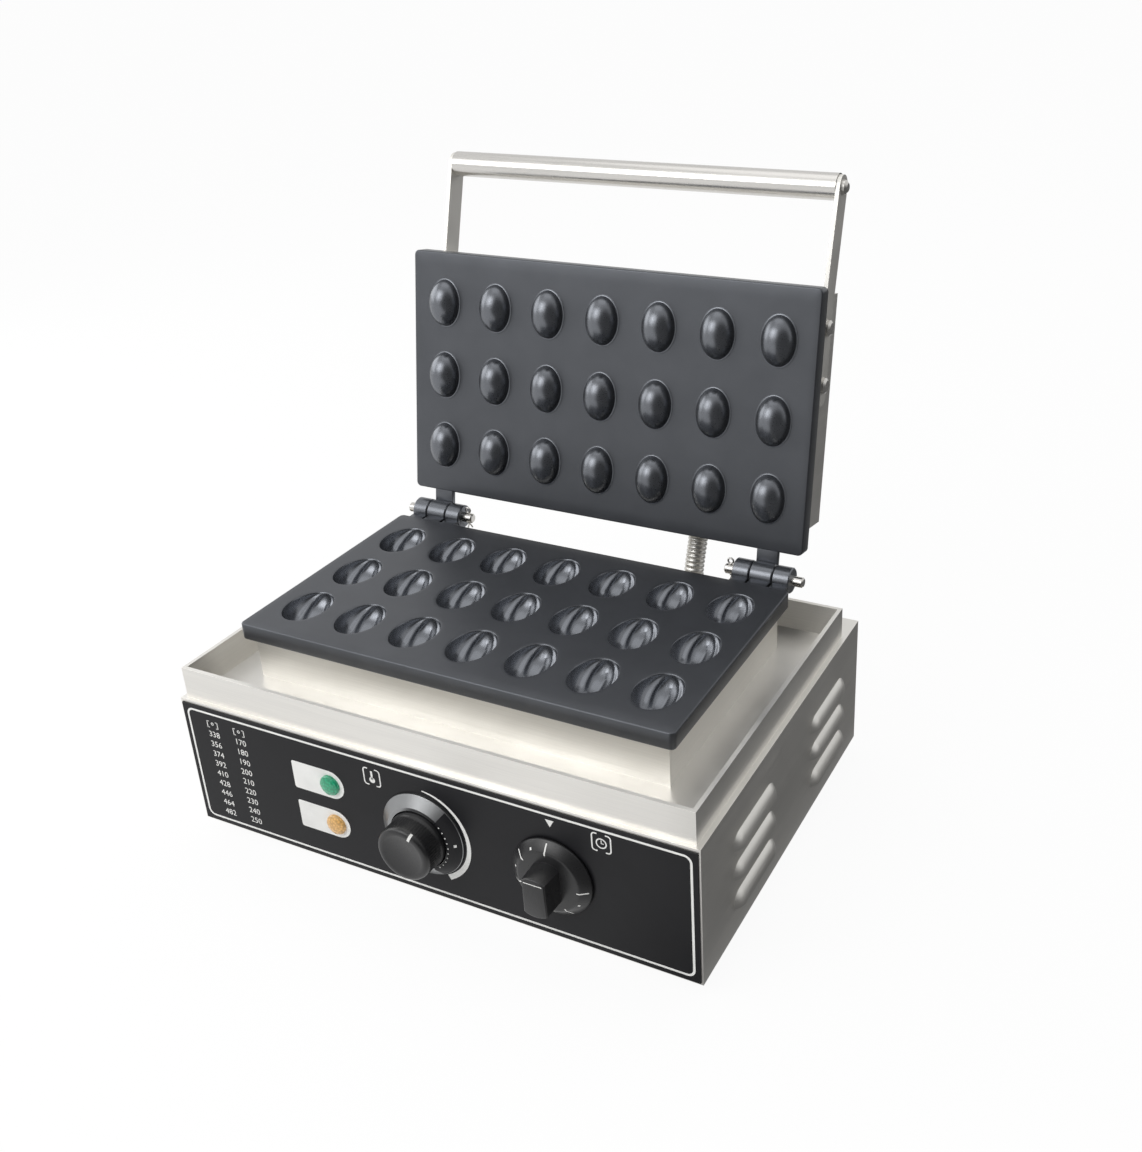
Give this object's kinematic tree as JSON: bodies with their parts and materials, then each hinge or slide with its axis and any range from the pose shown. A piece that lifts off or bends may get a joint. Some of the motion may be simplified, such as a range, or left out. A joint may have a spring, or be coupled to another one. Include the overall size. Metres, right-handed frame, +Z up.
{
  "type": "walnut cookie maker",
  "caption": "Countertop cooker with a hinged lid, a cavity mould plate below and a domed plate above, a drip tray, a handle, and front controls, for baking walnut shaped cookie shells.",
  "frame": {"origin": "on the table, under the middle of the machine's outline with the lid open", "axes": "+Z up, -Y towards the controls and the user, +X to the right seen from the front"},
  "size_m": [0.43, 0.3929, 0.4518],
  "materials": {
    "housing_steel": "brushed stainless sheet",
    "fastener_steel": "bright plated steel",
    "bright_steel": "polished round steel",
    "strip_steel": "flat stainless strip",
    "heater_sheath": "heat-tinted tube",
    "conduit_steel": "ribbed metal hose",
    "rubber": "matte black rubber",
    "panel_black": "black faced panel",
    "lens_green": "green lens",
    "lens_amber": "amber lens",
    "inner_plastic": "moulded white plastic",
    "ceramic": "unglazed ceramic look",
    "bezel_grey": "dark metallic grey",
    "knob_black": "moulded black plastic",
    "copper": "drawn copper tube",
    "mould_coating": "cast aluminium with a dark non-stick coat"
  },
  "bodies": {
    "base": {"casing": "housing_steel", "rear_panel": "housing_steel", "rear_screws": "fastener_steel", "base_plate": "housing_steel", "base_screws": "fastener_steel", "foot_front_left": "rubber", "foot_front_right": "rubber", "foot_rear_left": "rubber", "foot_rear_right": "rubber", "foot_screws": "fastener_steel", "top_tray": "housing_steel", "control_panel": "panel_black", "power_lamp_lens": "lens_green", "power_lamp_holder": "inner_plastic", "heat_lamp_lens": "lens_amber", "heat_lamp_holder": "inner_plastic", "thermostat_body": "inner_plastic", "thermostat_bezel": "bezel_grey", "thermostat_bulb": "copper", "capillary": "copper", "timer_body": "inner_plastic", "control_screws": "fastener_steel", "terminal_block": "inner_plastic", "lower_plate": "mould_coating", "lower_heater": "heater_sheath", "lower_clamps": "strip_steel", "lower_clamp_screws": "fastener_steel", "heater_bushes": "ceramic", "plate_box": "housing_steel", "plate_posts": "bright_steel", "post_nuts": "fastener_steel", "hinge_pin_left": "bright_steel", "hinge_pin_right": "bright_steel", "split_pins": "fastener_steel", "conduit": "conduit_steel", "conduit_gland_lower": "bright_steel", "cord_gland": "knob_black"},
    "lid": {"upper_plate": "mould_coating", "mould_domes": "mould_coating", "upper_heater": "heater_sheath", "upper_clamps": "strip_steel", "upper_clamp_screws": "fastener_steel", "lid_posts": "bright_steel", "lid_cover": "housing_steel", "cover_screws": "fastener_steel", "handle_arm_left": "strip_steel", "handle_arm_right": "strip_steel", "arm_bolts": "fastener_steel", "arm_nuts": "fastener_steel", "handle_bar": "bright_steel", "handle_screws": "fastener_steel", "conduit_gland_upper": "bright_steel"},
    "thermostat_dial": {"thermostat_knob": "knob_black", "thermostat_shaft": "bright_steel"},
    "timer_dial": {"timer_knob": "knob_black", "timer_shaft": "bright_steel"}
  },
  "joints": [
    {"name": "lid_hinge", "type": "hinge", "parent": "base", "child": "lid", "pos_m": [0, 0.087, 0.168], "axis": [1, 0, 0], "range_deg": [0, 100], "deforming": ["conduit"]},
    {"name": "thermostat_turn", "type": "hinge", "parent": "base", "child": "thermostat_dial", "pos_m": [0.001, -0.17, 0.064], "axis": [0, 1, 0], "range_deg": [0, 270]},
    {"name": "timer_turn", "type": "hinge", "parent": "base", "child": "timer_dial", "pos_m": [0.104, -0.17, 0.064], "axis": [0, 1, 0], "range_deg": [0, 300]}
  ]
}
